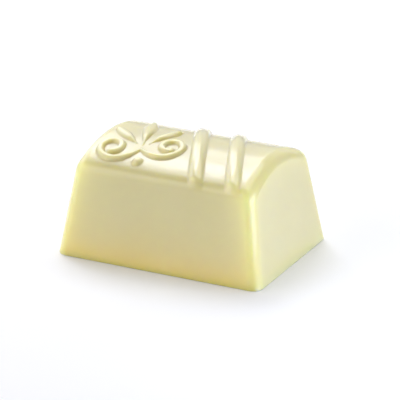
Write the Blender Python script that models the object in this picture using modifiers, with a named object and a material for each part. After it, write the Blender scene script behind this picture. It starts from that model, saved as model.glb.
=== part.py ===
"""A moulded white chocolate praline.

A drafted block with an arched roof. Two round ribs cross the roof on a slant, and a raised
palmette with two volutes stands beside them. All of it is one solid.

Lengths are in metres, +Z is up, and the origin is the centre of the flat base.
"""

import math

import bmesh
import bpy
from mathutils import Matrix, Vector

MM = 0.001

# The block: its base, the folds where the long sides meet the roof, and the arch above them.
BASE_LENGTH = 35.0 * MM
BASE_WIDTH = 25.0 * MM
FOLD_HEIGHT = 14.65 * MM
ARCH_RISE = 2.9 * MM
MOULD_DRAFT = math.radians(8.75)
FOLD_ROUND = 2.4 * MM
END_ROUND = 1.8 * MM
ARCH_STEPS = 20
FOLD_STEPS = 7
END_ROUND_STEPS = 5

# The ribs: where each crosses the ridge, and how far it moves back along X per unit of Y.
RIB_RIDGE_X = (1.5 * MM, 7.75 * MM)
RIB_SLANT = 0.41
RIB_HALF_WIDTH = 1.25 * MM
RIB_HEIGHT = 0.65 * MM
RIB_END_SHARE = 0.25
RIB_STEPS = 40
RIB_BALL_TURN = math.radians(80.0)
RIB_BALL_STEPS = 6

# The palmette: its middle along X and round the roof, its turn from the Y axis, its relief.
PALMETTE_MIDDLE = (-6.5 * MM, -3.7 * MM)
PALMETTE_TURN = math.radians(15.0)
RELIEF_HEIGHT = 0.55 * MM
RELIEF_TIP = 0.14 * MM

# A volute's stroke bends more and more tightly, from its foot to the eye that it ends in.
VOLUTE_FOOT = (0.0, -1.7 * MM)
VOLUTE_HEADING = math.radians(-50.0)
VOLUTE_LENGTH = 16.0 * MM
VOLUTE_BEND_AT_FOOT = 0.096 / MM
VOLUTE_BEND_AT_EYE = 0.818 / MM
VOLUTE_HALF_WIDTH = 0.62 * MM
VOLUTE_EYE_HALF_WIDTH = 0.85 * MM
VOLUTE_STEPS = 44

# Petals fan out behind the volutes: each has its foot, heading, length and half width.
PETALS = (
    ("petal_middle", (0.0, -0.6 * MM), math.radians(90.0), 9.6 * MM, 1.15 * MM),
    ("petal_right", (1.0 * MM, -0.2 * MM), math.radians(50.0), 6.6 * MM, 1.0 * MM),
    ("petal_left", (-1.0 * MM, -0.2 * MM), math.radians(130.0), 6.6 * MM, 1.0 * MM),
)
PETAL_STEPS = 14
PETAL_WIDEST = 0.62

# A round bead hangs before the volutes.
BEAD_PLACE = (0.0, -4.7 * MM)
BEAD_HALF_WIDTH = 0.9 * MM

TUBE_RESOLUTION = 4
BEAD_SEGMENTS = 20
BEAD_RINGS = 14
WELD = 0.00001

NODE_NAME = "praline"
CHOCOLATE_COLOUR = (0.86, 0.80, 0.52, 1.0)
CHOCOLATE_ROUGHNESS = 0.34

# The cross-section, worked out from the block's sizes.
FOLD_HALF_WIDTH = BASE_WIDTH / 2 - FOLD_HEIGHT * math.tan(MOULD_DRAFT)
ARCH_RADIUS = (FOLD_HALF_WIDTH ** 2 + ARCH_RISE ** 2) / (2 * ARCH_RISE)
ARCH_CENTRE_Z = FOLD_HEIGHT + ARCH_RISE - ARCH_RADIUS
SIDE_LEAN = math.pi / 2 - MOULD_DRAFT


def fold_centre():
    """Centre (y, z) of the fold's rounding, which touches both the arch and the long side."""
    run, rise = math.cos(MOULD_DRAFT), math.sin(MOULD_DRAFT)
    inner_side = BASE_WIDTH / 2 * run - FOLD_ROUND
    height_at_middle = inner_side / rise - ARCH_CENTRE_Z
    a = 1 + (run / rise) ** 2
    b = -2 * run / rise * height_at_middle
    c = height_at_middle ** 2 - (ARCH_RADIUS - FOLD_ROUND) ** 2
    y = (-b - math.sqrt(b * b - 4 * a * c)) / (2 * a)
    return y, (inner_side - y * run) / rise


FOLD_CENTRE_Y, FOLD_CENTRE_Z = fold_centre()
FOLD_LEAN = math.atan2(FOLD_CENTRE_Y, FOLD_CENTRE_Z - ARCH_CENTRE_Z)


def crown_point(lean, lift=0.0):
    """Point (y, z) of the cross-section whose outward normal leans that far from upright."""
    side = math.copysign(1.0, lean)
    if abs(lean) <= FOLD_LEAN:
        centre_y, centre_z, radius = 0.0, ARCH_CENTRE_Z, ARCH_RADIUS
    else:
        centre_y, centre_z, radius = side * FOLD_CENTRE_Y, FOLD_CENTRE_Z, FOLD_ROUND
    reach = radius + lift
    return centre_y + reach * math.sin(lean), centre_z + reach * math.cos(lean)


def on_roof(place, lift):
    """Point over or under the roof, at a place (along X, round the roof from its ridge)."""
    along, around = place
    return Vector((along, *crown_point(around / ARCH_RADIUS, lift)))


def smooth_step(low, high, value):
    t = min(max((value - low) / (high - low), 0.0), 1.0)
    return t * t * (3 - 2 * t)


def between(start, end, steps):
    return [start + (end - start) * i / steps for i in range(steps + 1)]


def relief_radius(half_width, height):
    """Radius of the round bar that shows this wide and this high above a surface."""
    return (half_width ** 2 + height ** 2) / (2 * height)


def clear_scene():
    for existing in list(bpy.data.objects):
        bpy.data.objects.remove(existing, do_unlink=True)


def new_collection(name):
    collection = bpy.data.collections.new(name)
    bpy.context.scene.collection.children.link(collection)
    return collection


def curve_to_mesh(curve_object, collection):
    """Replace a curve by its closed mesh, with the caps welded on."""
    evaluated = curve_object.evaluated_get(bpy.context.evaluated_depsgraph_get())
    mesh = bpy.data.meshes.new_from_object(evaluated)
    name, place = curve_object.name, curve_object.matrix_world.copy()
    bpy.data.objects.remove(curve_object, do_unlink=True)
    solid = bpy.data.objects.new(name, mesh)
    solid.matrix_world = place
    collection.objects.link(solid)
    bm = bmesh.new()
    bm.from_mesh(mesh)
    bmesh.ops.remove_doubles(bm, verts=bm.verts, dist=WELD)
    bmesh.ops.recalc_face_normals(bm, faces=bm.faces)
    bm.to_mesh(mesh)
    bm.free()
    return solid


def new_curve(name, points, collection, dimensions, cyclic=False):
    curve = bpy.data.curves.new(name, "CURVE")
    curve.dimensions = dimensions
    spline = curve.splines.new("POLY")
    spline.points.add(len(points) - 1)
    for control, point in zip(spline.points, points):
        control.co = (*point, 1.0)
    spline.use_cyclic_u = cyclic
    curve_object = bpy.data.objects.new(name, curve)
    collection.objects.link(curve_object)
    return curve_object


def make_block(collection):
    """The cross-section pulled along X, its ends drafted and its end edges rounded."""
    half = BASE_WIDTH / 2
    fold_leans = between(FOLD_LEAN, SIDE_LEAN, FOLD_STEPS)[1:]
    leans = [-lean for lean in reversed(fold_leans)]
    leans += between(-FOLD_LEAN, FOLD_LEAN, ARCH_STEPS) + fold_leans
    outline = [(half, 0.0, 0.0)]
    outline += [(*crown_point(lean), 0.0) for lean in reversed(leans)]
    outline += [(-half, 0.0, 0.0)]

    section = new_curve(NODE_NAME, outline, collection, "2D", cyclic=True)
    section.data.fill_mode = "BOTH"
    section.data.extrude = BASE_LENGTH / 2
    block = curve_to_mesh(section, collection)

    stand_up = Matrix(((0, 0, 1, 0), (1, 0, 0, 0), (0, 1, 0, 0), (0, 0, 0, 1)))
    block.data.transform(stand_up)
    for vertex in block.data.vertices:
        end_x = BASE_LENGTH / 2 - vertex.co.z * math.tan(MOULD_DRAFT)
        vertex.co.x = math.copysign(end_x, vertex.co.x)
    mark_end_edges(block.data)

    rounding = block.modifiers.new("end_round", "BEVEL")
    rounding.limit_method = "WEIGHT"
    rounding.width = END_ROUND
    rounding.segments = END_ROUND_STEPS
    rounding.use_clamp_overlap = False
    return block


def mark_end_edges(mesh):
    """Give a bevel weight to the edges round each end, but not to those on the base."""
    bm = bmesh.new()
    bm.from_mesh(mesh)
    bmesh.ops.dissolve_limit(bm, angle_limit=math.radians(0.1), verts=bm.verts, edges=bm.edges)
    weight = bm.edges.layers.float.new("bevel_weight_edge")
    for edge in bm.edges:
        first, last = (vertex.co for vertex in edge.verts)
        round_an_end = first.x * last.x > 0 and max(first.z, last.z) > WELD
        edge[weight] = 1.0 if round_an_end else 0.0
    bm.to_mesh(mesh)
    bm.free()


def make_bar(name, points, radii, collection):
    """A round bar along the points, closed at both ends."""
    bar = new_curve(name, points, collection, "3D")
    bar.data.bevel_depth = 1.0
    bar.data.bevel_resolution = TUBE_RESOLUTION
    bar.data.use_fill_caps = True
    for control, radius in zip(bar.data.splines[0].points, radii):
        control.radius = radius
    return curve_to_mesh(bar, collection)


def make_rib(name, ridge_x, collection):
    """A round bar bent over the roof, with ball ends just over the folds."""
    radius = relief_radius(RIB_HALF_WIDTH, RIB_HEIGHT)
    end_lean = FOLD_LEAN + RIB_END_SHARE * (SIDE_LEAN - FOLD_LEAN)
    ball = between(0.0, RIB_BALL_TURN, RIB_BALL_STEPS)[1:]
    leans = between(0.0, end_lean, RIB_STEPS // 2)
    leans += [end_lean + radius * math.sin(turn) / FOLD_ROUND for turn in ball]
    radii = [radius] * (RIB_STEPS // 2 + 1) + [radius * math.cos(turn) for turn in ball]
    points = []
    for lean in [-lean for lean in reversed(leans[1:])] + leans:
        y, z = crown_point(lean, RIB_HEIGHT - radius)
        points.append((ridge_x - RIB_SLANT * y, y, z))
    return make_bar(name, points, list(reversed(radii[1:])) + radii, collection)


def place_palmette(point, side=1.0):
    """From the palmette's own plane to a place on the roof, mirrored if side is -1."""
    across, along = side * point[0], point[1]
    turn_cos, turn_sin = math.cos(PALMETTE_TURN), math.sin(PALMETTE_TURN)
    return (PALMETTE_MIDDLE[0] + across * turn_cos - along * turn_sin,
            PALMETTE_MIDDLE[1] + across * turn_sin + along * turn_cos)


def make_stroke(name, places, half_widths, collection):
    """A raised round stroke along places on the roof, lower where it is narrow."""
    points, radii = [], []
    for place, half_width in zip(places, half_widths):
        height = min(RELIEF_HEIGHT, 0.9 * half_width)
        radius = relief_radius(half_width, height)
        points.append(on_roof(place, height - radius))
        radii.append(radius)
    return make_bar(name, points, radii, collection)


def volute_path():
    """Points of a stroke whose bend grows evenly along its length, as a French curve's does."""
    step = VOLUTE_LENGTH / VOLUTE_STEPS
    across, along = VOLUTE_FOOT
    heading = VOLUTE_HEADING
    path = [(across, along)]
    for i in range(VOLUTE_STEPS):
        share = (i + 0.5) / VOLUTE_STEPS
        bend = VOLUTE_BEND_AT_FOOT + (VOLUTE_BEND_AT_EYE - VOLUTE_BEND_AT_FOOT) * share
        heading += bend * step / 2
        across += step * math.cos(heading)
        along += step * math.sin(heading)
        heading += bend * step / 2
        path.append((across, along))
    return path


def make_bead(name, place, half_width, collection):
    """A low round bead on the roof."""
    radius = relief_radius(half_width, RELIEF_HEIGHT)
    bpy.ops.mesh.primitive_uv_sphere_add(
        segments=BEAD_SEGMENTS, ring_count=BEAD_RINGS, radius=radius,
        location=on_roof(place, RELIEF_HEIGHT - radius))
    bead = bpy.context.object
    bead.name = name
    for linked in list(bead.users_collection):
        linked.objects.unlink(bead)
    collection.objects.link(bead)
    return bead


def make_volute(name, side, collection):
    """One scroll of the pair, with the eye that ends it."""
    path = volute_path()
    places = [place_palmette(point, side) for point in path]
    tip = RELIEF_TIP / VOLUTE_HALF_WIDTH
    half_widths = []
    for i in range(len(path)):
        swell = tip + (1 - tip) * smooth_step(-0.12, 0.25, i / VOLUTE_STEPS)
        half_widths.append(VOLUTE_HALF_WIDTH * swell)
    make_stroke(name, places, half_widths, collection)
    make_bead(name + "_eye", places[-1], VOLUTE_EYE_HALF_WIDTH, collection)


def make_petal(name, foot, heading, length, half_width, collection):
    """A pointed leaf, widest past its middle."""
    places, half_widths = [], []
    for share in between(0.0, 1.0, PETAL_STEPS):
        across = foot[0] + share * length * math.cos(heading)
        along = foot[1] + share * length * math.sin(heading)
        places.append(place_palmette((across, along)))
        bulge = math.sin(math.pi * share ** (math.log(0.5) / math.log(PETAL_WIDEST)))
        half_widths.append(max(half_width * bulge ** 0.8, RELIEF_TIP))
    return make_stroke(name, places, half_widths, collection)


def make_relief(collection):
    for number, ridge_x in enumerate(RIB_RIDGE_X, start=1):
        make_rib(f"rib_{number}", ridge_x, collection)
    make_volute("volute_right", 1.0, collection)
    make_volute("volute_left", -1.0, collection)
    for name, foot, heading, length, half_width in PETALS:
        make_petal(name, foot, heading, length, half_width, collection)
    make_bead("bead", place_palmette(BEAD_PLACE), BEAD_HALF_WIDTH, collection)


def join_relief(block, relief):
    """Unite the block with everything in the relief's collection, and drop those objects."""
    union = block.modifiers.new("relief", "BOOLEAN")
    union.operation = "UNION"
    union.operand_type = "COLLECTION"
    union.collection = relief
    union.solver = "EXACT"
    bpy.context.view_layer.update()
    evaluated = block.evaluated_get(bpy.context.evaluated_depsgraph_get())
    united = bpy.data.meshes.new_from_object(evaluated)
    block.modifiers.clear()
    block.data = united
    for joined in list(relief.objects):
        bpy.data.objects.remove(joined, do_unlink=True)
    bpy.data.collections.remove(relief)


def chocolate_material():
    material = bpy.data.materials.new("white_chocolate")
    material.use_nodes = True
    shader = material.node_tree.nodes["Principled BSDF"]
    shader.inputs["Base Color"].default_value = CHOCOLATE_COLOUR
    shader.inputs["Roughness"].default_value = CHOCOLATE_ROUGHNESS
    shader.inputs["Metallic"].default_value = 0.0
    return material


def main():
    clear_scene()
    parts = new_collection("chocolate_praline")
    relief = new_collection("praline_relief")
    block = make_block(parts)
    make_relief(relief)
    join_relief(block, relief)
    block.data.name = NODE_NAME
    block.data.materials.clear()
    block.data.materials.append(chocolate_material())
    block.data.shade_smooth()
    block.data.set_sharp_from_angle(angle=math.radians(35))


main()
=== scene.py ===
"""A moulded white chocolate praline, modelled at its real size and lit on a pale studio floor.

The praline is one Geometry Nodes piece: a grid is wrapped into a drafted block with an arched
roof, and two slanted ribs and a palmette are raised on it. Lengths are in metres, +Z is up.
"""

import math

import bpy
from mathutils import Matrix, Vector


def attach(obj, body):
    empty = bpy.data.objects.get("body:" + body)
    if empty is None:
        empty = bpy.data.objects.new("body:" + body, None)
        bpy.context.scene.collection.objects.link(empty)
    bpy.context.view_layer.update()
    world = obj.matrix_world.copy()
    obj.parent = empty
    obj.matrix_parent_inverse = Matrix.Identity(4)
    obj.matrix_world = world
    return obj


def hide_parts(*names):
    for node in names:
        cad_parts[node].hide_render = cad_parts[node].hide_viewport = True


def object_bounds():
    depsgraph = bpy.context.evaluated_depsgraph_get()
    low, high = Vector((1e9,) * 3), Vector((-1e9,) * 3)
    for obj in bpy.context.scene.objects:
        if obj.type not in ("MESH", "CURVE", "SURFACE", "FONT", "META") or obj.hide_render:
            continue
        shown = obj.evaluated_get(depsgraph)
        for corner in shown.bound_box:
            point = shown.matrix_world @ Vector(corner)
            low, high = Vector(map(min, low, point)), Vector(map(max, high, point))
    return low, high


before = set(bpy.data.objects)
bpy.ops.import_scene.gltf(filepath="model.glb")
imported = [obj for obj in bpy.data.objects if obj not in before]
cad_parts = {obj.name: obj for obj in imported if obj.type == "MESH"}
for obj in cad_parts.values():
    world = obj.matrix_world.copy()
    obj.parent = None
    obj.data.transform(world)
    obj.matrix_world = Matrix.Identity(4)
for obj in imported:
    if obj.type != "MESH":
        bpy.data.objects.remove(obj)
CAD_LOW, CAD_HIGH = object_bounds()

bl_info = {
    "name": "White Chocolate Praline",
    "version": (1, 0, 0),
    "blender": (4, 5, 0),
    "location": "3D View > Sidebar > Praline",
    "description": "Moulds a white chocolate praline, and sets a floor, lights and a camera",
    "category": "Add Mesh",
}

MM = 0.001
NODE = "praline"
BODY = "root"
PIECE = "white_chocolate_praline"
RAISED = "raised"

# The ribs reach the top of the CAD model, and the ridge lies this far below it.
RIB_HEIGHT = 0.65 * MM


def band_ends(bands):
    """The number of the last row or column of each band, counted on from band to band."""
    ends, number = {}, 0
    for band, count in bands.items():
        number += count
        ends[band] = number
    return ends


# How the mesh is divided: rows from the seam under the base to the ridge, and columns from the
# middle of the left end to the middle of the right end. The roof is fine enough for the relief,
# and the sides are coarse.
ROW = band_ends({"base": 6, "rim": 5, "side": 12, "fold": 16, "ridge": 94})
COLUMN = band_ends({"face": 8, "corner": 12, "palmette": 150, "rib_1": 26, "gap": 22,
                    "rib_2": 26, "tail": 18, "last_corner": 12, "last_face": 8})
MERGE_DISTANCE = 0.001 * MM


# Sizes and colours that a user would change.

class PralineBlock(bpy.types.PropertyGroup):
    """Sizes of the moulded block."""

    length: bpy.props.FloatProperty(
        name="Length", description="Length of the base along X",
        default=CAD_HIGH.x - CAD_LOW.x, unit="LENGTH")
    width: bpy.props.FloatProperty(
        name="Width", description="Width of the base along Y",
        default=CAD_HIGH.y - CAD_LOW.y, unit="LENGTH")
    ridge_height: bpy.props.FloatProperty(
        name="Ridge Height", description="Height of the roof's ridge, without the ribs",
        default=CAD_HIGH.z - RIB_HEIGHT, unit="LENGTH")
    arch_rise: bpy.props.FloatProperty(
        name="Arch Rise", description="How far the ridge stands above the folds",
        default=2.9 * MM, unit="LENGTH")
    draft: bpy.props.FloatProperty(
        name="Draft", description="Lean of the four sides, which lets the mould release them",
        default=math.radians(8.75), subtype="ANGLE", unit="ROTATION")
    fold_round: bpy.props.FloatProperty(
        name="Fold Round", description="Radius where the long sides turn into the roof",
        default=2.4 * MM, unit="LENGTH")
    end_round: bpy.props.FloatProperty(
        name="End Round", description="Radius where the roof turns into the ends",
        default=1.8 * MM, unit="LENGTH")
    corner_round: bpy.props.FloatProperty(
        name="Corner Round", description="Radius of the four upright corners",
        default=1.8 * MM, unit="LENGTH")
    rim_round: bpy.props.FloatProperty(
        name="Rim Round", description="Radius round the base",
        default=0.15 * MM, unit="LENGTH")


class PralineRelief(bpy.types.PropertyGroup):
    """Sizes of what is raised on the roof."""

    rib_ridge_x: bpy.props.FloatVectorProperty(
        name="Rib Places", description="Where each rib crosses the ridge, along X",
        size=2, default=(1.5 * MM, 7.75 * MM), unit="LENGTH")
    rib_slant: bpy.props.FloatProperty(
        name="Rib Slant", description="How far a rib moves back along X per unit of Y",
        default=0.41)
    rib_half_width: bpy.props.FloatProperty(
        name="Rib Half Width", description="Half the width of a rib",
        default=1.25 * MM, unit="LENGTH")
    rib_height: bpy.props.FloatProperty(
        name="Rib Height", description="Height of a rib above the roof",
        default=RIB_HEIGHT, unit="LENGTH")
    rib_reach: bpy.props.FloatProperty(
        name="Rib Reach", description="How far round the fold a rib runs before it fades out",
        default=0.25, min=0.0, max=1.0, subtype="FACTOR")
    palmette_middle: bpy.props.FloatVectorProperty(
        name="Palmette Middle",
        description="Middle of the palmette: along X, and round the roof",
        size=2, default=(-6.5 * MM, -3.7 * MM), unit="LENGTH")
    palmette_turn: bpy.props.FloatProperty(
        name="Palmette Turn", description="Turn of the palmette from the width of the praline",
        default=math.radians(15.0), subtype="ANGLE", unit="ROTATION")
    stroke_height: bpy.props.FloatProperty(
        name="Stroke Height", description="Height of the palmette above the roof",
        default=0.55 * MM, unit="LENGTH")
    stroke_half_width: bpy.props.FloatProperty(
        name="Stroke Half Width", description="Half the width of a volute's stroke",
        default=0.62 * MM, unit="LENGTH")
    foot_round: bpy.props.FloatProperty(
        name="Foot Round", description="Softness of the crease round everything raised",
        default=0.22 * MM, unit="LENGTH")


class PralineFinish(bpy.types.PropertyGroup):
    """Colour and gloss of the white chocolate."""

    colour: bpy.props.FloatVectorProperty(
        name="Chocolate", description="Colour of the white chocolate where it is thick",
        size=3, default=(0.73, 0.67, 0.345), min=0.0, max=1.0, subtype="COLOR")
    # Painted glow: a paler, yellower colour at the edges of the ends stands for light shining
    # through the chocolate.
    painted_glow_colour: bpy.props.FloatVectorProperty(
        name="Edges", description="Colour at the edges of the ends, where light shines through",
        size=3, default=(1.0, 0.95, 0.40), min=0.0, max=1.0, subtype="COLOR")
    # Painted shade and glow: a warmer, deeper colour just above the floor stands for the
    # floor's shade and light through the chocolate.
    painted_foot_shade_colour: bpy.props.FloatVectorProperty(
        name="Foot", description="Colour just above the floor",
        size=3, default=(0.95, 0.70, 0.145), min=0.0, max=1.0, subtype="COLOR")
    # How far the painted edge glow reaches into a face.
    painted_glow_reach: bpy.props.FloatProperty(
        name="Edge Reach", description="How far the glow of an edge reaches into a face",
        default=2.0 * MM, unit="LENGTH")
    # How far up the painted foot shade reaches.
    painted_foot_shade_reach: bpy.props.FloatProperty(
        name="Foot Reach", description="How far the colour of the foot reaches up",
        default=3.0 * MM, unit="LENGTH")
    mottle: bpy.props.FloatProperty(
        name="Mottle", description="How much paler the patches are where cocoa butter has set",
        default=0.05, min=0.0, max=1.0, subtype="FACTOR")
    patch_size: bpy.props.FloatProperty(
        name="Patch Size", description="Size of the paler patches",
        default=7.0 * MM, unit="LENGTH")
    roughness: bpy.props.FloatProperty(
        name="Roughness", description="Roughness of the chocolate under its fat film",
        default=0.42, min=0.0, max=1.0, subtype="FACTOR")
    film_roughness: bpy.props.FloatProperty(
        name="Film Roughness",
        description="Roughness of the film of cocoa butter on the surface",
        default=0.18, min=0.0, max=1.0, subtype="FACTOR")
    ripple_size: bpy.props.FloatProperty(
        name="Ripple Size", description="Size of the faint waves left by the mould",
        default=2.4 * MM, unit="LENGTH")
    ripple_height: bpy.props.FloatProperty(
        name="Ripple Height", description="Height of the faint waves left by the mould",
        default=0.008 * MM, unit="LENGTH")
    grain_size: bpy.props.FloatProperty(
        name="Grain Size", description="Size of the sugar grain that shows at the surface",
        default=0.11 * MM, unit="LENGTH")
    grain_height: bpy.props.FloatProperty(
        name="Grain Height", description="Height of the sugar grain",
        default=0.0012 * MM, unit="LENGTH")
    glow_depth: bpy.props.FloatProperty(
        name="Glow Depth", description="How deep light sinks into the chocolate",
        default=2.0 * MM, unit="LENGTH")


class PralineStage(bpy.types.PropertyGroup):
    """The floor, the light and the camera."""

    floor: bpy.props.FloatVectorProperty(
        name="Floor", description="Colour of the floor",
        size=3, default=(0.98, 0.98, 0.98), min=0.0, max=1.0, subtype="COLOR")
    room: bpy.props.FloatVectorProperty(
        name="Room Light", description="Colour and strength of the even light of the room",
        size=3, default=(0.135, 0.130, 0.115), min=0.0, subtype="COLOR")
    azimuth: bpy.props.FloatProperty(
        name="Azimuth", description="Direction that the camera stands in, from -Y towards +X",
        default=math.radians(26.79), subtype="ANGLE", unit="ROTATION")
    elevation: bpy.props.FloatProperty(
        name="Elevation", description="Height of the camera above the floor, as an angle",
        default=math.radians(21.73), subtype="ANGLE", unit="ROTATION")
    roll: bpy.props.FloatProperty(
        name="Roll", description="Turn of the camera about its own axis",
        default=math.radians(0.21), subtype="ANGLE", unit="ROTATION")
    distance: bpy.props.FloatProperty(
        name="Distance", description="From the camera to the point that it aims at",
        default=0.496, unit="LENGTH")
    lens: bpy.props.FloatProperty(
        name="Lens", description="Focal length, in millimetres", default=288.0, min=1.0)
    aim: bpy.props.FloatVectorProperty(
        name="Aim", description="Point at the middle of the picture",
        size=3, default=(1.373 * MM, 0.0, 7.844 * MM), subtype="XYZ", unit="LENGTH")


class PralineSettings(bpy.types.PropertyGroup):
    """Everything that the sidebar shows."""

    block: bpy.props.PointerProperty(type=PralineBlock)
    relief: bpy.props.PointerProperty(type=PralineRelief)
    finish: bpy.props.PointerProperty(type=PralineFinish)
    stage: bpy.props.PointerProperty(type=PralineStage)


# Node trees: formulas are written with Flow values, which add the Math nodes.

class Flow:
    """A value in a node tree. Arithmetic on it adds the nodes that work it out."""

    def __init__(self, tree, socket):
        self.tree = tree
        self.socket = socket

    def __add__(self, other):
        return calculate(self.tree, "ADD", self, other)

    __radd__ = __add__

    def __sub__(self, other):
        return calculate(self.tree, "SUBTRACT", self, other)

    def __rsub__(self, other):
        return calculate(self.tree, "SUBTRACT", other, self)

    def __mul__(self, other):
        return calculate(self.tree, "MULTIPLY", self, other)

    __rmul__ = __mul__

    def __truediv__(self, other):
        return calculate(self.tree, "DIVIDE", self, other)

    def __rtruediv__(self, other):
        return calculate(self.tree, "DIVIDE", other, self)

    def __pow__(self, other):
        return calculate(self.tree, "POWER", self, other)

    def __abs__(self):
        return calculate(self.tree, "ABSOLUTE", self)

    def __lt__(self, other):
        return calculate(self.tree, "LESS_THAN", self, other)

    def __gt__(self, other):
        return calculate(self.tree, "GREATER_THAN", self, other)

    def act(self, operation, *others):
        """The result of any other Math operation on this value."""
        return calculate(self.tree, operation, self, *others)


def feed(tree, entry, value):
    """Link a Flow to an input, or set the input to a plain value."""
    if isinstance(value, Flow):
        tree.links.new(value.socket, entry)
    else:
        entry.default_value = value


def calculate(tree, operation, *values):
    """The result of one Math node."""
    node = tree.nodes.new("ShaderNodeMath")
    node.operation = operation
    for entry, value in zip(node.inputs, values):
        feed(tree, entry, value)
    return Flow(tree, node.outputs[0])


def add_node(tree, kind, entries=None, **settings):
    """A node with its settings made and its named inputs fed."""
    node = tree.nodes.new(kind)
    for name, value in settings.items():
        setattr(node, name, value)
    for name, value in (entries or {}).items():
        feed(tree, node.inputs[name], value)
    return node


def ramp(value, start, end, low, high, eased=False):
    """From low to high while value goes from start to end, and level outside them."""
    node = add_node(
        value.tree, "ShaderNodeMapRange",
        {"Value": value, "From Min": start, "From Max": end, "To Min": low, "To Max": high},
        interpolation_type="SMOOTHSTEP" if eased else "LINEAR", clamp=True)
    return Flow(value.tree, node.outputs["Result"])


def through(value, stops, eased=()):
    """A value that passes through each stop (place, height) in turn, on straight runs.

    The runs that start at a place in eased are smoothed at both ends, and a level run needs
    no node.
    """
    total = stops[0][1]
    for (start, low), (end, high) in zip(stops, stops[1:]):
        if low is high:
            continue
        total = total + ramp(value, start, end, 0.0, 1.0, start in eased) * (high - low)
    return total


def vector(tree, x, y, z):
    """A vector made of three values."""
    node = add_node(tree, "ShaderNodeCombineXYZ", {"X": x, "Y": y, "Z": z})
    return Flow(tree, node.outputs[0])


def parts_of(flow):
    """The X, Y and Z of a vector."""
    node = add_node(flow.tree, "ShaderNodeSeparateXYZ", {"Vector": flow})
    return [Flow(flow.tree, output) for output in node.outputs]


def new_group(name, entries, results):
    """A group of geometry nodes, with inputs {name: default} and outputs {name: socket type}.

    An input without a default has its socket type instead.
    """
    tree = bpy.data.node_groups.new(name, "GeometryNodeTree")
    for entry, default in entries.items():
        socket_type = default if isinstance(default, str) else "NodeSocketFloat"
        socket = tree.interface.new_socket(name=entry, in_out="INPUT", socket_type=socket_type)
        if not isinstance(default, str):
            socket.default_value = default
    for result, socket_type in results.items():
        tree.interface.new_socket(name=result, in_out="OUTPUT", socket_type=socket_type)
    source = tree.nodes.new("NodeGroupInput")
    target = tree.nodes.new("NodeGroupOutput")
    values = {entry: Flow(tree, source.outputs[entry]) for entry in entries}
    return tree, values, target


def place_group(tree, group, entries):
    """A group's node, with its named inputs fed."""
    return add_node(tree, "GeometryNodeGroup", entries, node_tree=group)


# The section of the block, worked out from its sizes.

def section_of(block):
    """Centres and angles of the arcs that make the cross-section, by name."""
    slope = math.tan(block.draft)
    fold_height = block.ridge_height - block.arch_rise
    fold_half_width = block.width / 2 - fold_height * slope
    arch_radius = (fold_half_width ** 2 + block.arch_rise ** 2) / (2 * block.arch_rise)
    arch_centre_z = block.ridge_height - arch_radius

    run, rise = math.cos(block.draft), math.sin(block.draft)
    inner_side = block.width / 2 * run - block.fold_round
    height_at_middle = inner_side / rise - arch_centre_z
    a = 1 + (run / rise) ** 2
    b = -2 * run / rise * height_at_middle
    c = height_at_middle ** 2 - (arch_radius - block.fold_round) ** 2
    fold_y = (-b - math.sqrt(b * b - 4 * a * c)) / (2 * a)
    fold_z = (inner_side - fold_y * run) / rise
    return {
        "Arch Radius": arch_radius,
        "Arch Centre Z": arch_centre_z,
        "Fold Centre Y": fold_y,
        "Fold Centre Z": fold_z,
        "Fold Lean": math.atan2(fold_y, fold_z - arch_centre_z),
        "Side Lean": math.pi / 2 - block.draft,
        "Rim Centre Y": block.width / 2 - block.rim_round * (rise + 1) / run,
    }


# Relief: heights above the roof, as fields over the unrolled roof.

# What is raised has a round top that runs out into straight flanks with this lean.
FLANK_LEAN = math.radians(62.0)
# The right volute, from its foot to its eye, and the points that it is laid out in. This and
# the next places are in the palmette's own plane, with its axis along the second coordinate.
VOLUTE = {"Foot Across": 0.0, "Foot Along": -1.7 * MM, "Heading": math.radians(-50.0),
          "Length": 16.0 * MM, "Bend at Foot": 0.096 / MM, "Bend at Eye": 0.818 / MM}
VOLUTE_POINTS = 241
# The stroke of a volute swells to its full width between these shares of its length.
VOLUTE_TAPER = (-0.12, 0.25)
EYE_WIDENING = 1.37
# Each petal: its foot, its heading, its length and its greatest half width.
PETALS = (
    ((0.0, -0.6 * MM), math.radians(90.0), 9.6 * MM, 1.15 * MM),
    ((1.0 * MM, -0.2 * MM), math.radians(50.0), 6.6 * MM, 1.0 * MM),
)
# The share of its length where a petal is widest, and the power of its bulge: less is blunter.
PETAL_WIDEST = 0.62
PETAL_FULLNESS = 0.8
# The least half width of a stroke or petal, and its greatest height as a share of that width.
STROKE_TIP = 0.14 * MM
STEEPEST_STROKE = 0.9
BEAD_PLACE = (0.0, -4.7 * MM)
BEAD_HALF_WIDTH = 0.9 * MM
# Where a rib starts and stops to fade out, round the roof from its reach, and how deep its end
# then lies under the skin.
RIB_FADE = (-0.8 * MM, 2.1 * MM)
RIB_SINK = 0.25 * MM


def raised_bar_group():
    """The height of a round bar at a distance from its middle line, with drafted flanks."""
    tree, value, target = new_group(
        "Raised Bar",
        {"Distance": 0.0, "Half Width": 1.0 * MM, "Height": 0.5 * MM},
        {"Height": "NodeSocketFloat"})
    width, height = value["Half Width"], value["Height"]
    radius = (width * width + height * height) / (2.0 * height)
    top = value["Distance"].act("MINIMUM", radius * math.sin(FLANK_LEAN))
    round_part = (radius * radius - top * top).act("SQRT") - radius + height
    flank_part = (value["Distance"] - top) * math.tan(FLANK_LEAN)
    feed(tree, target.inputs["Height"], round_part - flank_part)
    return tree


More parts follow.
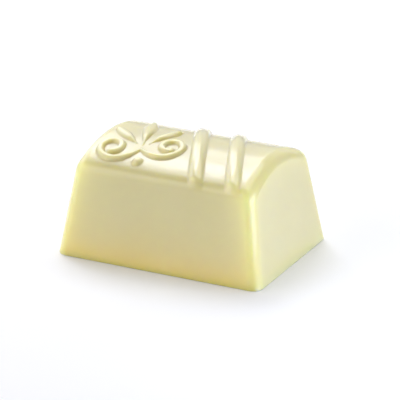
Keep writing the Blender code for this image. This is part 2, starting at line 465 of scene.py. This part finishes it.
def volute_group():
    """A stroke, as points in a plane, whose bend grows evenly from its foot to its eye."""
    tree, value, target = new_group(
        "Volute Line",
        {"Foot Across": 0.0, "Foot Along": 0.0, "Heading": 0.0, "Length": 1.0 * MM,
         "Bend at Foot": 0.0, "Bend at Eye": 0.0},
        {"Line": "NodeSocketGeometry", "Share": "NodeSocketFloat"})
    steps = VOLUTE_POINTS - 1
    line = add_node(tree, "GeometryNodeMeshLine", {"Count": VOLUTE_POINTS}, mode="OFFSET")
    number = Flow(tree, add_node(tree, "GeometryNodeInputIndex").outputs[0])
    share = number / steps

    # Each step heads the way that the bent line does at the step's middle.
    middle = (number + 0.5) / steps
    bend_gain = value["Bend at Eye"] - value["Bend at Foot"]
    turned = (value["Bend at Foot"] + bend_gain * middle / 2.0) * middle * value["Length"]
    heading = value["Heading"] + turned
    step = value["Length"] / steps
    stride = vector(tree, heading.act("COSINE") * step, heading.act("SINE") * step, 0.0)
    walked = add_node(tree, "GeometryNodeAccumulateField", {"Value": stride},
                      data_type="FLOAT_VECTOR")
    across, along, _ = parts_of(Flow(tree, walked.outputs["Trailing"]))
    place = vector(tree, across + value["Foot Across"], along + value["Foot Along"], 0.0)
    laid = add_node(tree, "GeometryNodeSetPosition",
                    {"Geometry": Flow(tree, line.outputs[0]), "Position": place})
    tree.links.new(laid.outputs[0], target.inputs["Line"])
    feed(tree, target.inputs["Share"], share)
    return tree


def bar_height(tree, bar, distance, half_width, height):
    """The height of a bar of the given size, at a distance from its middle line."""
    node = place_group(tree, bar, {"Distance": distance, "Half Width": half_width,
                                   "Height": height})
    return Flow(tree, node.outputs["Height"])


def distance_between(across, along, place):
    """Distance from a point to a fixed place in the same plane."""
    run, rise = across - place[0], along - place[1]
    return (run * run + rise * rise).act("SQRT")


def volute_height(tree, value, bar, across, along):
    """The right volute and its eye. The left one is its mirror image."""
    volute = place_group(tree, volute_group(), VOLUTE)
    line = Flow(tree, volute.outputs["Line"])
    here = vector(tree, across, along, 0.0)
    near = add_node(tree, "GeometryNodeProximity",
                    {"Geometry": line, "Sample Position": here}, target_element="EDGES")
    nearest = add_node(tree, "GeometryNodeSampleNearest",
                       {"Geometry": line, "Sample Position": here})
    share = add_node(tree, "GeometryNodeSampleIndex",
                     {"Geometry": line, "Value": Flow(tree, volute.outputs["Share"]),
                      "Index": Flow(tree, nearest.outputs[0])})
    tip = STROKE_TIP / value["Stroke Half Width"]
    swell = ramp(Flow(tree, share.outputs[0]), *VOLUTE_TAPER, 0.0, 1.0, eased=True)
    half_width = value["Stroke Half Width"] * (tip + (1.0 - tip) * swell)
    height = value["Stroke Height"].act("MINIMUM", half_width * STEEPEST_STROKE)
    stroke = bar_height(tree, bar, Flow(tree, near.outputs["Distance"]), half_width, height)

    place = add_node(tree, "GeometryNodeInputPosition")
    end = add_node(tree, "GeometryNodeSampleIndex",
                   {"Geometry": line, "Value": Flow(tree, place.outputs[0]),
                    "Index": VOLUTE_POINTS - 1}, data_type="FLOAT_VECTOR")
    end_across, end_along, _ = parts_of(Flow(tree, end.outputs[0]))
    from_eye = distance_between(across, along, (end_across, end_along))
    eye = bar_height(tree, bar, from_eye, value["Stroke Half Width"] * EYE_WIDENING,
                     value["Stroke Height"])
    return stroke.act("MAXIMUM", eye)


def petal_height(tree, value, bar, across, along, petal):
    """A pointed leaf, widest past its middle."""
    foot, heading, length, widest = petal
    run, rise = across - foot[0], along - foot[1]
    outward = run * math.cos(heading) + rise * math.sin(heading)
    sideways = rise * math.cos(heading) - run * math.sin(heading)
    inside = outward.act("MAXIMUM", 0.0).act("MINIMUM", length)
    past_end = outward - inside
    distance = (sideways * sideways + past_end * past_end).act("SQRT")

    # Half a wave, shifted so that its crest, which is halfway, comes where the petal is widest.
    shifted = (inside / length) ** (math.log(0.5) / math.log(PETAL_WIDEST))
    bulge = (shifted * math.pi).act("SINE").act("MAXIMUM", 0.0) ** PETAL_FULLNESS
    half_width = (bulge * widest).act("MAXIMUM", STROKE_TIP)
    height = value["Stroke Height"].act("MINIMUM", half_width * STEEPEST_STROKE)
    return bar_height(tree, bar, distance, half_width, height)


def palmette_group(bar):
    """The height of the whole palmette over the unrolled roof. It is mirrored on its axis."""
    tree, value, target = new_group(
        "Palmette",
        {"X": 0.0, "Round": 0.0, "Middle X": 0.0, "Middle Round": 0.0, "Turn": 0.0,
         "Stroke Half Width": 0.6 * MM, "Stroke Height": 0.5 * MM, "Foot Round": 0.2 * MM},
        {"Height": "NodeSocketFloat"})
    turn_cos, turn_sin = value["Turn"].act("COSINE"), value["Turn"].act("SINE")
    run, rise = value["X"] - value["Middle X"], value["Round"] - value["Middle Round"]
    across = abs(run * turn_cos + rise * turn_sin)
    along = rise * turn_cos - run * turn_sin
    heights = [volute_height(tree, value, bar, across, along)]
    heights += [petal_height(tree, value, bar, across, along, petal) for petal in PETALS]
    from_bead = distance_between(across, along, BEAD_PLACE)
    heights.append(bar_height(tree, bar, from_bead, BEAD_HALF_WIDTH, value["Stroke Height"]))
    highest = heights[0]
    for height in heights[1:]:
        highest = highest.act("SMOOTH_MAX", height, value["Foot Round"])
    feed(tree, target.inputs["Height"], highest)
    return tree


def rib_group(bar):
    """The height of one rib, straight in plan, with ends that fade out over the folds."""
    tree, value, target = new_group(
        "Rib",
        {"X": 0.0, "Y": 0.0, "Round": 0.0, "Lean": 0.0, "Ridge X": 0.0, "Slant": 0.0,
         "Half Width": 1.0 * MM, "Height": 0.5 * MM, "Reach": 1.0 * MM},
        {"Height": "NodeSocketFloat"})
    level_slant = value["Slant"] * value["Lean"].act("COSINE")
    sideways = (value["X"] - value["Ridge X"] + value["Slant"] * value["Y"]) / (
        1.0 + level_slant * level_slant).act("SQRT")
    full = bar_height(tree, bar, abs(sideways), value["Half Width"], value["Height"])
    share = ramp(abs(value["Round"]) - value["Reach"], *RIB_FADE, 1.0, 0.0, eased=True)
    feed(tree, target.inputs["Height"],
         full.act("MINIMUM", 0.0) + (full.act("MAXIMUM", 0.0) + RIB_SINK) * share - RIB_SINK)
    return tree


# The block: a flat grid of numbered rows and columns is wrapped into a closed skin.

# Leans of the skin: it faces straight down, and straight out.
DOWNWARD = math.pi
UPRIGHT = math.pi / 2
# Rows and columns are told apart halfway between two numbers.
HALF_STEP = 0.5
# A row is on the roof or its fold if it leans less than a side by at least this angle.
LEAN_MARGIN = 0.001
# The rows of a side reach the middle of an end at this share of their height.
SPINE_SHARE = 0.88
# The least that is left between the second rib's foot and the rounding of the end.
LEAST_TAIL = 0.2 * MM
# The seam under the base is this share of the length.
SEAM_SHARE = 0.3


def praline_group(sizes):
    """The whole praline as a modifier's tree, with a named input for each size."""
    tree, value, target = new_group(
        "Moulded Praline", sizes | {"Chocolate": "NodeSocketMaterial"},
        {"Geometry": "NodeSocketGeometry"})
    tree.is_modifier = True

    last_column, last_row = COLUMN["last_face"], 2 * ROW["ridge"]
    grid = add_node(tree, "GeometryNodeMeshGrid",
                    {"Size X": float(last_column), "Size Y": float(last_row),
                     "Vertices X": last_column + 1, "Vertices Y": last_row + 1})
    position = add_node(tree, "GeometryNodeInputPosition")
    grid_x, grid_y, _ = parts_of(Flow(tree, position.outputs[0]))
    column = grid_x + last_column / 2
    ring = ROW["ridge"] - abs(grid_y)
    side = grid_y.act("SIGN")

    place, lift = skin_place(tree, value, column, grid_x.act("SIGN"), ring, side)
    marked = add_node(tree, "GeometryNodeStoreNamedAttribute",
                      {"Geometry": Flow(tree, grid.outputs["Mesh"]), "Name": RAISED,
                       "Value": lift / value["Stroke Height"]})
    wrapped = add_node(tree, "GeometryNodeSetPosition",
                       {"Geometry": Flow(tree, marked.outputs[0]), "Position": place})
    closed = add_node(tree, "GeometryNodeMergeByDistance",
                      {"Geometry": Flow(tree, wrapped.outputs[0]), "Distance": MERGE_DISTANCE})
    smooth = add_node(tree, "GeometryNodeSetShadeSmooth",
                      {"Geometry": Flow(tree, closed.outputs[0])})
    real = add_node(tree, "GeometryNodeRealizeInstances",
                    {"Geometry": Flow(tree, smooth.outputs[0])})
    dressed = add_node(tree, "GeometryNodeSetMaterial",
                       {"Geometry": Flow(tree, real.outputs[0]),
                        "Material": value["Chocolate"]})
    tree.links.new(dressed.outputs[0], target.inputs["Geometry"])
    return tree


def skin_place(tree, value, column, end, ring, side):
    """Where the grid's point at a column and a ring lies, and how far it is raised there."""
    outer_ring = ring.act("MAXIMUM", float(ROW["base"]))
    under = ramp(ring, 0.0, ROW["base"], 0.0, 1.0)
    on_arch = outer_ring > ROW["fold"] + HALF_STEP
    lean = through(outer_ring, (
        (ROW["base"], DOWNWARD), (ROW["rim"], value["Side Lean"]),
        (ROW["side"], value["Side Lean"]), (ROW["fold"], value["Fold Lean"]),
        (ROW["ridge"], 0.0)), eased=(ROW["base"], ROW["side"]))

    # The arc that this ring lies on.
    to_fold = ramp(outer_ring, ROW["rim"], ROW["side"], 0.0, 1.0)
    centre_y = blend(value["Rim Centre Y"], value["Fold Centre Y"], to_fold) * (1.0 - on_arch)
    centre_z = blend(blend(value["Rim Round"], value["Fold Centre Z"], to_fold),
                     value["Arch Centre Z"], on_arch)
    radius = blend(blend(value["Rim Round"], value["Fold Round"], to_fold),
                   value["Arch Radius"], on_arch)

    edge_y = centre_y + radius * lean.act("SINE")
    edge_z = centre_z + radius * lean.act("COSINE")
    slope = value["Draft"].act("TANGENT")
    on_rim = outer_ring < ROW["rim"] + HALF_STEP
    inset = (value["Width"] / 2.0 - edge_z * slope - edge_y) * on_rim
    edge_x = value["Length"] / 2.0 - edge_z * slope - inset

    # The rounding from the long skin into the end: its reach, and its way down the end.
    rounding = through(outer_ring, (
        (ROW["base"], value["Corner Round"] - value["Rim Round"]),
        (ROW["rim"], value["Corner Round"]), (ROW["side"], value["Corner Round"]),
        (ROW["fold"], value["End Round"])), eased=(ROW["side"],))
    way_in = through(outer_ring, (
        (ROW["rim"], UPRIGHT), (ROW["side"], value["Side Lean"]),
        (ROW["fold"], value["Fold Lean"]), (ROW["ridge"], 0.0)), eased=(ROW["side"],))
    face_y = edge_y - rounding * way_in.act("SINE")
    face_z = edge_z - rounding * way_in.act("COSINE")
    side_top = value["Fold Centre Z"] + value["Fold Round"] * value["Side Lean"].act("COSINE")
    face_top = value["Ridge Height"] - value["End Round"]
    spine_z = edge_z.act("MINIMUM", side_top) * SPINE_SHARE + ramp(
        outer_ring, ROW["side"], ROW["ridge"], 0.0, 1.0) * (face_top - side_top * SPINE_SHARE)

    from_end = column.act("MINIMUM", COLUMN["last_face"] - column)
    over_face = ramp(from_end, 0.0, COLUMN["face"], 0.0, 1.0)
    turn = ramp(from_end, COLUMN["face"], COLUMN["corner"], 0.0, UPRIGHT, eased=True)
    down = 1.0 - turn.act("SINE")
    back = 1.0 - turn.act("COSINE")
    on_face = from_end < COLUMN["face"] + HALF_STEP

    # Between the roundings the columns follow the ribs.
    start_x = edge_x - rounding
    y_flat = side * edge_y * under
    foot = (value["Rib Half Width"] + value["Foot Round"]) * (
        1.0 + value["Rib Slant"] * value["Rib Slant"]).act("SQRT")
    rib_1 = value["Rib 1 X"] - value["Rib Slant"] * y_flat
    rib_2 = value["Rib 2 X"] - value["Rib Slant"] * y_flat
    long_x = through(column, (
        (COLUMN["corner"], 0.0 - start_x), (COLUMN["palmette"], rib_1 - foot),
        (COLUMN["rib_1"], rib_1 + foot), (COLUMN["gap"], rib_2 - foot),
        (COLUMN["rib_2"], (rib_2 + foot).act("MINIMUM", start_x - LEAST_TAIL)),
        (COLUMN["tail"], start_x)))

    lift = relief_height(tree, value, long_x, y_flat, lean, side) * (
        from_end > COLUMN["corner"] - HALF_STEP) * (lean < value["Side Lean"] - LEAN_MARGIN)
    long_y = edge_y + lift * lean.act("SINE")
    long_z = edge_z + lift * lean.act("COSINE")

    round_x = edge_x + (edge_z - face_z) * slope * down - rounding * back
    round_y = blend(edge_y, face_y, down)
    round_z = blend(edge_z, face_z, down)

    flat_y = face_y * over_face
    flat_z = blend(spine_z, face_z, over_face)
    flat_x = value["Length"] / 2.0 - flat_z * slope - inset

    in_corner = from_end < COLUMN["corner"] + HALF_STEP
    x = blend(long_x, end * blend(round_x, flat_x, on_face), in_corner)
    y = blend(long_y, blend(round_y, flat_y, on_face), in_corner) * side
    z = blend(long_z, blend(round_z, flat_z, on_face), in_corner)
    return vector(tree, x * blend(SEAM_SHARE, 1.0, under), y * under, z), lift


def blend(first, second, share):
    """From the first value at share 0 to the second at share 1."""
    return (second - first) * share + first


def relief_height(tree, value, x, y, lean, side):
    """How far the skin is raised at a place on the roof."""
    bar = raised_bar_group()
    roof_lean = lean.act("MINIMUM", value["Fold Lean"])
    fold_lean = lean - roof_lean
    round_roof = side * (value["Arch Radius"] * roof_lean + value["Fold Round"] * fold_lean)
    rib = rib_group(bar)
    heights = []
    for name in ("Rib 1 X", "Rib 2 X"):
        node = place_group(tree, rib, {
            "X": x, "Y": y, "Round": round_roof, "Lean": roof_lean, "Ridge X": value[name],
            "Slant": value["Rib Slant"], "Half Width": value["Rib Half Width"],
            "Height": value["Rib Height"], "Reach": value["Rib Reach"]})
        heights.append(Flow(tree, node.outputs["Height"]))
    node = place_group(tree, palmette_group(bar), {
        "X": x, "Round": round_roof, "Middle X": value["Palmette X"],
        "Middle Round": value["Palmette Round"], "Turn": value["Palmette Turn"],
        "Stroke Half Width": value["Stroke Half Width"],
        "Stroke Height": value["Stroke Height"], "Foot Round": value["Foot Round"]})
    heights.append(Flow(tree, node.outputs["Height"]))
    highest = heights[0]
    for height in heights[1:]:
        highest = highest.act("MAXIMUM", height)
    return highest.act("SMOOTH_MAX", 0.0, value["Foot Round"])


def set_sizes(modifier, sizes):
    """Give the modifier's inputs their values, by the sockets' identifiers."""
    for socket in modifier.node_group.interface.items_tree:
        if socket.in_out == "INPUT" and socket.name in sizes:
            modifier[socket.identifier] = sizes[socket.name]


def praline_sizes(block, relief):
    """The values of the praline's named inputs."""
    section = section_of(block)
    fold_sweep = relief.rib_reach * (section["Side Lean"] - section["Fold Lean"])
    return section | {
        "Length": block.length, "Width": block.width, "Draft": block.draft,
        "Fold Round": block.fold_round, "End Round": block.end_round,
        "Corner Round": block.corner_round, "Rim Round": block.rim_round,
        "Ridge Height": block.ridge_height,
        "Rib 1 X": relief.rib_ridge_x[0], "Rib 2 X": relief.rib_ridge_x[1],
        "Rib Slant": relief.rib_slant, "Rib Half Width": relief.rib_half_width,
        "Rib Height": relief.rib_height,
        "Rib Reach": (section["Arch Radius"] * section["Fold Lean"]
                      + block.fold_round * fold_sweep),
        "Palmette X": relief.palmette_middle[0], "Palmette Round": relief.palmette_middle[1],
        "Palmette Turn": relief.palmette_turn,
        "Stroke Half Width": relief.stroke_half_width,
        "Stroke Height": relief.stroke_height, "Foot Round": relief.foot_round,
    }


# Materials.

# How deep red, green and blue light sink in, as shares of the glow's depth.
SINK_SHARES = (1.0, 0.85, 0.3)
# How strongly the painted glow brightens the upright edges and the other edges of the ends.
PAINTED_EDGE_GLOW = 1.5
PAINTED_FOLD_GLOW = 0.5
# How sharply the painted glow of an upright edge, and the foot's painted shade beside an end,
# fall off.
PAINTED_GLOW_FALL = 2.5
PAINTED_FOOT_SHADE_FALL = 3.0
# The colour of patches, crests and the underside, where fat or rubbing has made them pale.
PALE = (0.93, 0.92, 0.66)
# The noise of the patches goes from bare chocolate to pale between these heights.
PATCH_RANGE = (0.35, 0.70)
# What is raised is rubbed more and more between these shares of the strokes' height, up to
# this degree, and so much paler and smoother does it get.
RUB_RANGE = (0.55, 1.0)
RUB_SHARE = 0.35
RUB_PALENESS = 0.3
RUB_POLISH = 0.12
# How high up the rim the underside's look ends, and how pale and dull it is.
UNDERSIDE_TOP = 0.12 * MM
UNDERSIDE_PALENESS = 0.3
UNDERSIDE_DULLNESS = 0.3
# Marks of the scraper on the underside.
SCRAPE_LENGTH = 9.0 * MM
SCRAPE_WIDTH = 0.35 * MM
SCRAPE_PALENESS = 0.5
SCRAPE_DEPTH = 0.04 * MM
# The gloss varies in patches this many times finer than the pale ones, and by this much.
GLOSS_FINENESS = 3
GLOSS_UNEVENNESS = 0.16
ROUGHNESS_LIMITS = (0.2, 0.9)
# The detail of the noise of patches and scrapes, above that of plain noise.
FINE_DETAIL = 3.0


def noise(tree, place, size, detail=2.0):
    """Even noise, from 0 to 1, with blots of the given size."""
    node = add_node(tree, "ShaderNodeTexNoise",
                    {"Vector": place, "Scale": 1.0 / size, "Detail": detail})
    return Flow(tree, node.outputs["Fac"])


def mix_colours(tree, factor, first, second):
    """From the first colour at factor 0 to the second at factor 1."""
    node = tree.nodes.new("ShaderNodeMix")
    node.data_type = "RGBA"
    factor_in, first_in, second_in = (socket for socket in node.inputs if socket.enabled)
    for entry, value in ((factor_in, factor), (first_in, first), (second_in, second)):
        feed(tree, entry, value if isinstance(value, Flow) else (*value, 1.0))
    return Flow(tree, next(socket for socket in node.outputs if socket.enabled))


def bump(tree, height, distance, below=None):
    """A normal bent by a height field. The bump below it, if any, is bent further."""
    entries = {"Height": height, "Distance": distance, "Strength": 1.0}
    if below is not None:
        entries["Normal"] = below
    return Flow(tree, add_node(tree, "ShaderNodeBump", entries).outputs["Normal"])


def closeness(distance, reach):
    """1 on a face, falling off evenly with the distance from it."""
    return (distance.act("MAXIMUM", 0.0) / -reach).act("EXPONENT")


def painted_edge_glow(place, block, reach):
    """The painted glow of the edges, a colour mask that stands for light through the chocolate,
    and how close the nearer end is.

    The glow is 1 on the upright edges, less on the other edges of the ends, and 0 inside faces.
    """
    along, across, height = parts_of(place)
    section = section_of(block)
    inset = height * math.tan(block.draft)
    above_centre = height - section["Arch Centre Z"]
    to_centre = (across * across + above_centre * above_centre).act("SQRT")
    at_end = closeness(block.length / 2 - inset - abs(along), reach)
    at_side = closeness(block.width / 2 - inset - abs(across), reach)
    at_roof = closeness(section["Arch Radius"] - to_centre, reach)
    at_foot = closeness(height, reach)
    # Painted glow: brighter colour at the upright edges, and at the ends' roof edge and foot
    # where light through the chocolate and from the floor shows.
    glow = at_end * (at_side ** PAINTED_GLOW_FALL * PAINTED_EDGE_GLOW + (at_roof + at_foot) * PAINTED_FOLD_GLOW)
    return glow.act("MINIMUM", 1.0), at_end


def chocolate_material(finish, block):
    """White chocolate: light sinks in and glows at the edges, with a painted glow there too,
    under a thin film of fat.
    """
    material = bpy.data.materials.new("moulded_white_chocolate")
    material.use_nodes = True
    tree = material.node_tree
    shader = tree.nodes["Principled BSDF"]
    for name, value in {
            "IOR": 1.5, "Subsurface Weight": 1.0, "Subsurface Radius": SINK_SHARES,
            "Subsurface Scale": finish.glow_depth, "Coat Weight": 1.0, "Coat IOR": 1.6,
            "Coat Roughness": finish.film_roughness}.items():
        shader.inputs[name].default_value = value

    place = Flow(tree, add_node(tree, "ShaderNodeTexCoord").outputs["Object"])
    _, _, height = parts_of(place)
    raised = Flow(tree, add_node(tree, "ShaderNodeAttribute",
                                 attribute_name=RAISED).outputs["Fac"])
    underside = ramp(height, 0.0, UNDERSIDE_TOP, 1.0, 0.0, eased=True)
    scrapes = scraper_marks(tree, place)

    # Colour: deeper in the faces than at the edges, where a painted glow stands for light
    # through the chocolate; painted warm shade at the foot; paler where it is rubbed.
    glow, at_end = painted_edge_glow(place, block, finish.painted_glow_reach)
    colour = mix_colours(tree, glow, finish.colour, finish.painted_glow_colour)
    # Painted shade and glow at the foot, just above the floor.
    foot = closeness(height, finish.painted_foot_shade_reach) * (
        1.0 - at_end ** PAINTED_FOOT_SHADE_FALL) * (1.0 - underside)
    colour = mix_colours(tree, foot, colour, finish.painted_foot_shade_colour)
    patches = ramp(noise(tree, place, finish.patch_size, FINE_DETAIL), *PATCH_RANGE,
                   0.0, finish.mottle, eased=True)
    rubbed = ramp(raised, *RUB_RANGE, 0.0, RUB_SHARE, eased=True)
    scraped = underside * (UNDERSIDE_PALENESS + scrapes * SCRAPE_PALENESS)
    feed(tree, shader.inputs["Base Color"],
         mix_colours(tree, patches + rubbed * RUB_PALENESS + scraped, colour, PALE))

    # Gloss: the mould leaves it uneven, crests are polished, and the underside is dull.
    patchiness = noise(tree, place, finish.patch_size / GLOSS_FINENESS, FINE_DETAIL) - 0.5
    rough = (patchiness * GLOSS_UNEVENNESS - rubbed * RUB_POLISH
             + underside * UNDERSIDE_DULLNESS + finish.roughness)
    smoothest, roughest = ROUGHNESS_LIMITS
    feed(tree, shader.inputs["Roughness"],
         rough.act("MAXIMUM", smoothest).act("MINIMUM", roughest))

    # Relief too fine for the mesh: mould ripples, sugar grain, and marks on the underside.
    ripples = bump(tree, noise(tree, place, finish.ripple_size), finish.ripple_height)
    grain = bump(tree, noise(tree, place, finish.grain_size), finish.grain_height, ripples)
    feed(tree, shader.inputs["Normal"], bump(tree, scrapes * underside, SCRAPE_DEPTH, grain))
    return material


def scraper_marks(tree, place):
    """Long thin marks that a scraper leaves along the praline, from 0 to 1."""
    along, across, height = parts_of(place)
    stretched = vector(tree, along * (SCRAPE_WIDTH / SCRAPE_LENGTH), across, height)
    return noise(tree, stretched, SCRAPE_WIDTH, FINE_DETAIL)


def floor_material(colour):
    """Even, dull and pale."""
    material = bpy.data.materials.new("pale_floor")
    material.use_nodes = True
    shader = material.node_tree.nodes["Principled BSDF"]
    shader.inputs["Base Color"].default_value = (*colour, 1.0)
    shader.inputs["Roughness"].default_value = 0.8
    return material


# Pieces.

def plain_copy(source, name):
    """The evaluated object as a plain mesh of its own. The source is removed.

    The modifier leaves an empty slot in front of its material, which goes too.
    """
    evaluated = source.evaluated_get(bpy.context.evaluated_depsgraph_get())
    mesh = bpy.data.meshes.new_from_object(evaluated)
    mesh.name = name
    for slot in reversed(range(len(mesh.materials))):
        if mesh.materials[slot] is None:
            mesh.materials.pop(index=slot)
    bpy.data.meshes.remove(source.data)
    piece = bpy.data.objects.new(name, mesh)
    bpy.context.scene.collection.objects.link(piece)
    return piece


class PRALINE_OT_mould(bpy.types.Operator):
    """Mould the praline and finish its surface"""

    bl_idname = "praline.mould"
    bl_label = "Mould Praline"

    def execute(self, context):
        settings = context.scene.praline
        cast = bpy.data.objects.new("cast", bpy.data.meshes.new("cast"))
        context.scene.collection.objects.link(cast)
        modifier = cast.modifiers.new("mould", "NODES")
        sizes = praline_sizes(settings.block, settings.relief)
        modifier.node_group = praline_group(sizes)
        set_sizes(modifier, sizes | {
            "Chocolate": chocolate_material(settings.finish, settings.block)})
        context.view_layer.update()
        piece = plain_copy(cast, PIECE)
        if not piece.data.polygons:
            raise RuntimeError("the praline's tree made no faces")
        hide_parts(NODE)
        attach(piece, BODY)
        return {"FINISHED"}


class PRALINE_OT_stage(bpy.types.Operator):
    """Lay the floor, hang the lights and place the camera"""

    bl_idname = "praline.stage"
    bl_label = "Set Stage"

    def execute(self, context):
        stage = context.scene.praline.stage
        lay_floor(stage)
        hang_lights(stage)
        place_camera(stage)
        return {"FINISHED"}


FLOOR_HALF_SIZE = 3.0
FLOOR_GAP = 0.02 * MM
# All softboxes face this point in the praline.
LIT_POINT = (0.0, 0.0, 8.0 * MM)
# Each softbox: azimuth from -Y towards +X and elevation, in degrees, then distance, width and
# height, in metres, and last the power of its red, green and blue light, in watts.
SOFTBOXES = {
    "key": (-141.0, 49.0, 0.50, 0.28, 0.28, (0.55, 0.56, 0.63)),
    "key_high": (-129.0, 57.0, 0.50, 0.12, 0.12, (0.16, 0.165, 0.19)),
    "overhead": (180.0, 70.0, 0.60, 0.50, 0.50, (1.42, 1.43, 1.44)),
    "back_wall": (200.0, 22.0, 0.90, 1.20, 0.60, (1.60, 1.58, 1.56)),
    "left_wall": (-112.0, 30.0, 0.50, 0.40, 0.30, (0.45, 0.48, 0.62)),
    "left": (-52.0, 22.0, 0.60, 0.60, 0.55, (1.82, 1.78, 1.73)),
    "front": (0.0, 25.0, 0.60, 0.40, 0.40, (0.18, 0.175, 0.165)),
    "right": (104.0, 15.0, 0.60, 0.30, 0.30, (0.86, 0.88, 0.90)),
    "right_near": (70.0, 10.0, 0.07, 0.04, 0.03, (0.009, 0.010, 0.014)),
}


def lay_floor(stage):
    """A square floor, a hair below the base."""
    mesh = bpy.data.meshes.new("floor")
    reach = FLOOR_HALF_SIZE
    corners = [(x, y, -FLOOR_GAP) for x, y in (
        (-reach, -reach), (reach, -reach), (reach, reach), (-reach, reach))]
    mesh.from_pydata(corners, [], [(0, 1, 2, 3)])
    mesh.materials.append(floor_material(stage.floor))
    floor = bpy.data.objects.new("floor", mesh)
    bpy.context.scene.collection.objects.link(floor)


def direction(azimuth, elevation):
    """The unit vector from the praline towards a light or the camera."""
    return Vector((math.sin(azimuth) * math.cos(elevation),
                   -math.cos(azimuth) * math.cos(elevation), math.sin(elevation)))


def hang_lights(stage):
    """The even light of the room, and the softboxes."""
    world = bpy.data.worlds.new("room")
    world.use_nodes = True
    world.node_tree.nodes["Background"].inputs["Color"].default_value = (*stage.room, 1.0)
    bpy.context.scene.world = world
    for name, (azimuth, elevation, distance, width, height, powers) in SOFTBOXES.items():
        light = bpy.data.lights.new(name, "AREA")
        light.shape = "RECTANGLE"
        light.size, light.size_y, light.energy = width, height, max(powers)
        light.color = [power / light.energy for power in powers]
        softbox = bpy.data.objects.new(name, light)
        away = direction(math.radians(azimuth), math.radians(elevation))
        softbox.location = Vector(LIT_POINT) + away * distance
        softbox.rotation_euler = (-away).to_track_quat("-Z", "Y").to_euler()
        bpy.context.scene.collection.objects.link(softbox)


def place_camera(stage):
    """The camera, aimed and rolled, and a plain view of its picture."""
    back = direction(stage.azimuth, stage.elevation)
    right = Vector((math.cos(stage.azimuth), math.sin(stage.azimuth), 0.0))
    up = back.cross(right)
    turn = Matrix.Rotation(-stage.roll, 3, back)
    axes = Matrix((turn @ right, turn @ up, back)).transposed()
    lens = bpy.data.cameras.new("camera")
    lens.lens = stage.lens
    lens.clip_start = 0.01
    camera = bpy.data.objects.new("camera", lens)
    camera.matrix_world = Matrix.Translation(Vector(stage.aim) + back * stage.distance) @ (
        axes.to_4x4())
    bpy.context.scene.collection.objects.link(camera)
    bpy.context.scene.camera = camera
    bpy.context.scene.view_settings.view_transform = "Standard"


class PRALINE_PT_sidebar(bpy.types.Panel):
    """Lists the praline's operators and sizes"""

    bl_label = "White Chocolate Praline"
    bl_idname = "PRALINE_PT_sidebar"
    bl_space_type = "VIEW_3D"
    bl_region_type = "UI"
    bl_category = "Praline"

    def draw(self, context):
        settings = context.scene.praline
        for operator in (PRALINE_OT_mould, PRALINE_OT_stage):
            self.layout.operator(operator.bl_idname)
        for name in ("block", "relief", "finish", "stage"):
            group = getattr(settings, name)
            box = self.layout.box()
            box.label(text=name.capitalize())
            for prop in group.bl_rna.properties:
                if not prop.is_readonly and prop.identifier != "name":
                    box.prop(group, prop.identifier)


CLASSES = (PralineBlock, PralineRelief, PralineFinish, PralineStage, PralineSettings,
           PRALINE_OT_mould, PRALINE_OT_stage, PRALINE_PT_sidebar)


def register():
    for cls in CLASSES:
        bpy.utils.register_class(cls)
    bpy.types.Scene.praline = bpy.props.PointerProperty(type=PralineSettings)


def unregister():
    del bpy.types.Scene.praline
    for cls in reversed(CLASSES):
        bpy.utils.unregister_class(cls)


def main():
    """Mould the praline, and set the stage."""
    register()
    bpy.ops.praline.mould()
    bpy.ops.praline.stage()


if __name__ == "__main__":
    main()
